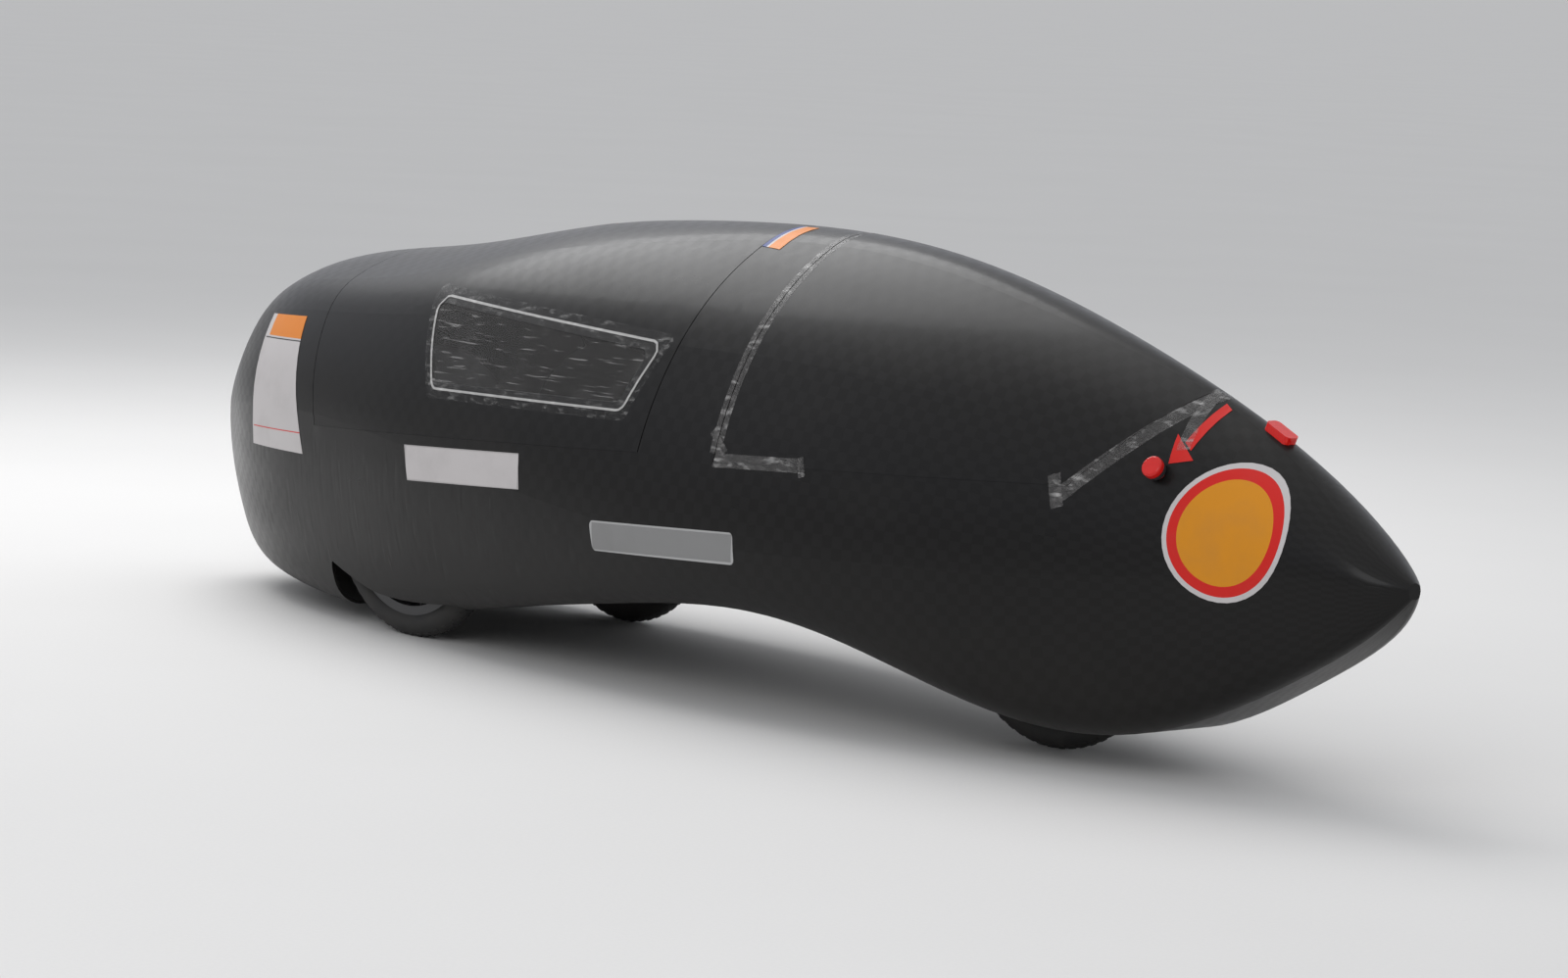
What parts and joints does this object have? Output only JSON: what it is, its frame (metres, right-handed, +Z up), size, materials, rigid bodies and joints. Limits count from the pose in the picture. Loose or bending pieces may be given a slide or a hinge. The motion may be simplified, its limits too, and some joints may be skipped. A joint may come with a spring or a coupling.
{
  "type": "prototype fuel-economy car",
  "caption": "teardrop-shaped enclosed fuel-economy car with a lift-off canopy and engine cover, reclined seat, roll hoop and wheels hidden in the shell",
  "frame": {"origin": "on the ground, under the middle of the car's box", "axes": "X forward to the nose, Y to the car's left, Z up"},
  "size_m": [2.9453, 0.706, 0.7669],
  "materials": {
    "body_skin": "dark woven-fibre shell with a satin clear coat",
    "glazing": "thin clear film window",
    "red_plastic": "red plastic",
    "fibre_panel": "bare moulded fibre panel",
    "foam": "dark foam with a cloth cover",
    "webbing": "red woven belt",
    "aluminium": "machined aluminium tube and plate",
    "steel": "plain steel",
    "rim_paint": "black wheel",
    "tyre": "slick black rubber",
    "engine_metal": "cast engine body"
  },
  "bodies": {
    "car": {"body_tub": "body_skin", "windscreen": "glazing", "stop_button": "red_plastic", "tail_lamp": "red_plastic", "firewall": "fibre_panel", "roll_bar": "aluminium", "driver_seat": "fibre_panel", "head_rest": "foam", "seat_belts": "webbing", "steering_column": "aluminium", "front_axle_beam": "aluminium", "kingpin_left": "steel", "kingpin_right": "steel", "wheel_arch_left": "fibre_panel", "wheel_arch_right": "fibre_panel", "rear_axle": "steel", "rear_dropout_left": "aluminium", "rear_dropout_right": "aluminium", "engine_block": "engine_metal", "engine_mount": "aluminium"},
    "lid": {"canopy_lid": "body_skin", "window_left": "glazing", "window_right": "glazing"},
    "cover": {"engine_cover": "body_skin"},
    "left_knuckle": {"knuckle_left": "steel"},
    "right_knuckle": {"knuckle_right": "steel"},
    "left_wheel": {"front_rim_left": "rim_paint", "front_tyre_left": "tyre"},
    "right_wheel": {"front_rim_right": "rim_paint", "front_tyre_right": "tyre"},
    "rear_wheel": {"rear_rim": "rim_paint", "rear_tyre": "tyre"},
    "tie_rod_slider": {"tie_rod": "steel"},
    "steering_bar": {"handlebar": "aluminium"}
  },
  "joints": [
    {"name": "steer_left", "type": "hinge", "parent": "car", "child": "left_knuckle", "pos_m": [0.652, 0.172, 0.24], "axis": [0, 0, 1], "range_deg": [-5, 5]},
    {"name": "steer_right", "type": "hinge", "parent": "car", "child": "right_knuckle", "pos_m": [0.652, -0.172, 0.24], "axis": [0, 0, 1], "range_deg": [-5, 5]},
    {"name": "tie_rod_slide", "type": "slide", "parent": "car", "child": "tie_rod_slider", "axis": [0, -1, 0], "range_m": [-0.0064, 0.0064]},
    {"name": "bar_turn", "type": "hinge", "parent": "car", "child": "steering_bar", "pos_m": [0.64, 0, 0.168], "axis": [-0.8284, 0, 0.5602], "range_deg": [-14.4, 14.4]},
    {"name": "front_left_spin", "type": "hinge", "parent": "left_knuckle", "child": "left_wheel", "pos_m": [0.652, 0.235, 0.24], "axis": [0, 1, 0], "continuous": true},
    {"name": "front_right_spin", "type": "hinge", "parent": "right_knuckle", "child": "right_wheel", "pos_m": [0.652, -0.235, 0.24], "axis": [0, 1, 0], "continuous": true},
    {"name": "rear_spin", "type": "hinge", "parent": "car", "child": "rear_wheel", "pos_m": [-0.733, 0, 0.24], "axis": [0, 1, 0], "continuous": true},
    {"name": "lid_lift", "type": "slide", "parent": "car", "child": "lid", "axis": [0, 0, 1], "range_m": [0, 0.45]},
    {"name": "cover_lift", "type": "slide", "parent": "car", "child": "cover", "axis": [0, 0, 1], "range_m": [0, 0.4]}
  ],
  "couplings": [
    {"joint": "steer_right", "follows": "steer_left", "ratio": 1},
    {"joint": "tie_rod_slide", "follows": "steer_left", "m_per_rad": 0.072},
    {"joint": "bar_turn", "follows": "steer_left", "ratio": 2.843}
  ]
}
